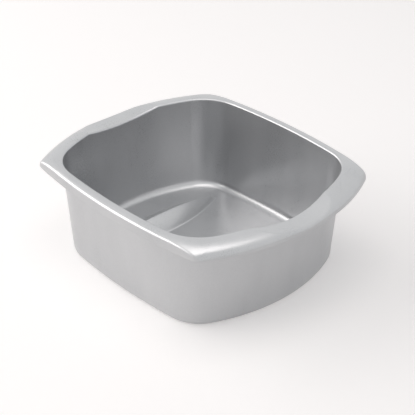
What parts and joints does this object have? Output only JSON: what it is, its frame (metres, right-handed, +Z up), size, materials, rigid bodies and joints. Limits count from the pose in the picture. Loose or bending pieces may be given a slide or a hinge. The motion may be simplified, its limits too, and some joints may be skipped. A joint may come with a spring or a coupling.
{
  "type": "washing up bowl",
  "caption": "Rectangular washing up bowl with bowed walls, a hanging skirt round its rim, a broad scooped handle at each end and a raised leaf at each end of its floor.",
  "frame": {"origin": "middle of the base, on the surface that the bowl stands on", "axes": "+X from one handle to the other, +Y across the bowl, +Z up"},
  "size_m": [0.3758, 0.3126, 0.133],
  "materials": {
    "moulding": "silver-grey polypropylene with a satin, slightly pearly surface"
  },
  "bodies": {
    "root": {"bowl": "moulding"}
  },
  "joints": []
}
